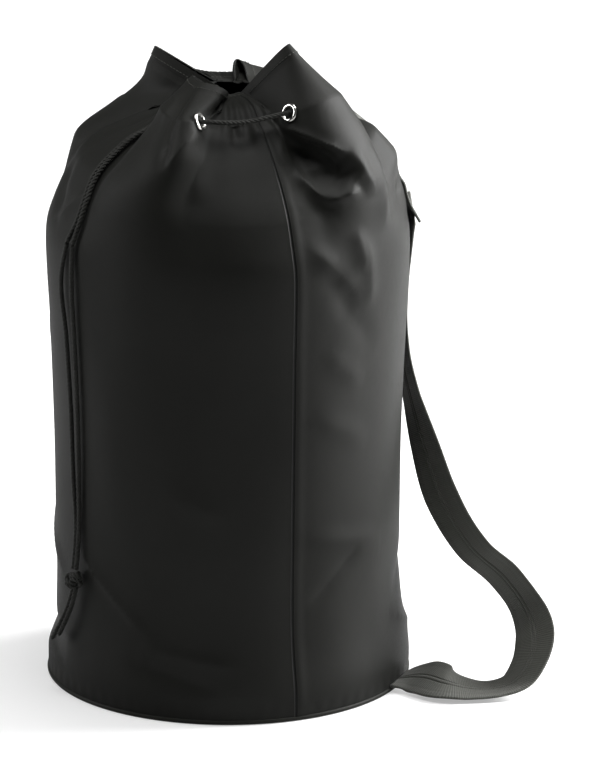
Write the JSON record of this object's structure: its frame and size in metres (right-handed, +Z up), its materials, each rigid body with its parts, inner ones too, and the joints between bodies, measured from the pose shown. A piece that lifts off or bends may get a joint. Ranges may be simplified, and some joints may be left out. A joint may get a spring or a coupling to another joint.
{
  "type": "drawstring duffel bag",
  "caption": "Round drawstring duffel for carrying rope, with a gathered neck, metal eyelets, a drawcord with knotted tails and a webbing shoulder strap.",
  "frame": {"origin": "centre of the base's underside, on the floor", "axes": "+Z up along the bag axis, +X towards the side with the shoulder strap, -Y towards the front"},
  "size_m": [0.4005, 0.2912, 0.533],
  "materials": {
    "bag_fabric": "matt coated polyester",
    "tape": "woven binding",
    "piping": "matt coated polyester",
    "filler": "plain extruded filler cord",
    "webbing": "ribbed webbing",
    "cord": "twisted cord",
    "eyelet": "bright nickel plating"
  },
  "bodies": {
    "bag": {"base_panel": "bag_fabric", "base_piping_cover": "piping", "base_piping_core": "filler", "base_seam_tape": "tape", "front_panel": "bag_fabric", "rear_panel": "bag_fabric", "seam_tape_front": "tape", "seam_tape_rear": "tape", "strap_lower_tab": "webbing"},
    "ear_front_right": {"ear_front_right_fabric": "bag_fabric", "eyelet_barrels_front_right": "eyelet", "eyelet_washers_front_right": "eyelet", "cord_inside_front_right": "cord"},
    "ear_front_left": {"ear_front_left_fabric": "bag_fabric", "eyelet_barrels_front_left": "eyelet", "eyelet_washers_front_left": "eyelet", "cord_inside_front_left": "cord"},
    "ear_rear_left": {"ear_rear_left_fabric": "bag_fabric", "eyelet_barrels_rear_left": "eyelet", "eyelet_washers_rear_left": "eyelet", "cord_inside_rear_left": "cord"},
    "ear_rear_right": {"ear_rear_right_fabric": "bag_fabric", "eyelet_barrels_rear_right": "eyelet", "eyelet_washers_rear_right": "eyelet", "cord_inside_rear_right": "cord"},
    "valley_front": {"valley_front_fabric": "bag_fabric", "cord_span_front": "cord"},
    "valley_strap_side": {"valley_strap_side_fabric": "bag_fabric", "cord_span_strap_side": "cord", "strap_top_section": "webbing"},
    "valley_rear": {"valley_rear_fabric": "bag_fabric", "cord_span_rear": "cord"},
    "valley_cord_side": {"valley_cord_side_fabric": "bag_fabric", "cord_tails_upper": "cord"},
    "strap": {"strap_main": "webbing"},
    "hanging_tails": {"cord_tails_hanging": "cord"},
    "tail_end": {"cord_knot": "cord", "cord_ends": "cord"}
  },
  "joints": [
    {"name": "neck_ease", "type": "hinge", "parent": "bag", "child": "valley_front", "pos_m": [0, -0.145, 0.38], "axis": [1, 0, 0], "range_deg": [0, 13]},
    {"name": "valley_strap_side_lean", "type": "hinge", "parent": "bag", "child": "valley_strap_side", "pos_m": [0.145, 0, 0.38], "axis": [0, 1, 0], "range_deg": [0, 13]},
    {"name": "valley_rear_lean", "type": "hinge", "parent": "bag", "child": "valley_rear", "pos_m": [0, 0.145, 0.38], "axis": [-1, 0, 0], "range_deg": [0, 13]},
    {"name": "valley_cord_side_lean", "type": "hinge", "parent": "bag", "child": "valley_cord_side", "pos_m": [-0.145, 0, 0.38], "axis": [0, -1, 0], "range_deg": [0, 13]},
    {"name": "ear_front_right_lean", "type": "hinge", "parent": "bag", "child": "ear_front_right", "pos_m": [0.10253, -0.10253, 0.38], "axis": [0.7071, 0.7071, 0], "range_deg": [0, 13]},
    {"name": "ear_front_left_lean", "type": "hinge", "parent": "bag", "child": "ear_front_left", "pos_m": [-0.10253, -0.10253, 0.38], "axis": [0.7071, -0.7071, 0], "range_deg": [0, 13]},
    {"name": "ear_rear_left_lean", "type": "hinge", "parent": "bag", "child": "ear_rear_left", "pos_m": [-0.10253, 0.10253, 0.38], "axis": [-0.7071, -0.7071, 0], "range_deg": [0, 13]},
    {"name": "ear_rear_right_lean", "type": "hinge", "parent": "bag", "child": "ear_rear_right", "pos_m": [0.10253, 0.10253, 0.38], "axis": [-0.7071, 0.7071, 0], "range_deg": [0, 13]},
    {"name": "strap_swing", "type": "hinge", "parent": "bag", "child": "strap", "pos_m": [0.1375, -0.0775, 0.0085], "axis": [0.0379, 0.1936, 0.9803], "range_deg": [-20, 0]},
    {"name": "tail_swing", "type": "hinge", "parent": "bag", "child": "hanging_tails", "pos_m": [-0.13761, -0.05841, 0.38], "axis": [-0.3907, 0.9205, 0], "range_deg": [0, 60]},
    {"name": "cord_pull", "type": "slide", "parent": "hanging_tails", "child": "tail_end", "axis": [0, 0, 1], "range_m": [0, 0.07], "deforming": ["cord_tails_hanging"]}
  ],
  "couplings": [
    {"joint": "valley_strap_side_lean", "follows": "neck_ease", "ratio": 1},
    {"joint": "valley_rear_lean", "follows": "neck_ease", "ratio": 1},
    {"joint": "valley_cord_side_lean", "follows": "neck_ease", "ratio": 1},
    {"joint": "ear_front_right_lean", "follows": "neck_ease", "ratio": 1},
    {"joint": "ear_front_left_lean", "follows": "neck_ease", "ratio": 1},
    {"joint": "ear_rear_left_lean", "follows": "neck_ease", "ratio": 1},
    {"joint": "ear_rear_right_lean", "follows": "neck_ease", "ratio": 1},
    {"joint": "cord_pull", "follows": "neck_ease", "m_per_rad": 0.30807}
  ]
}
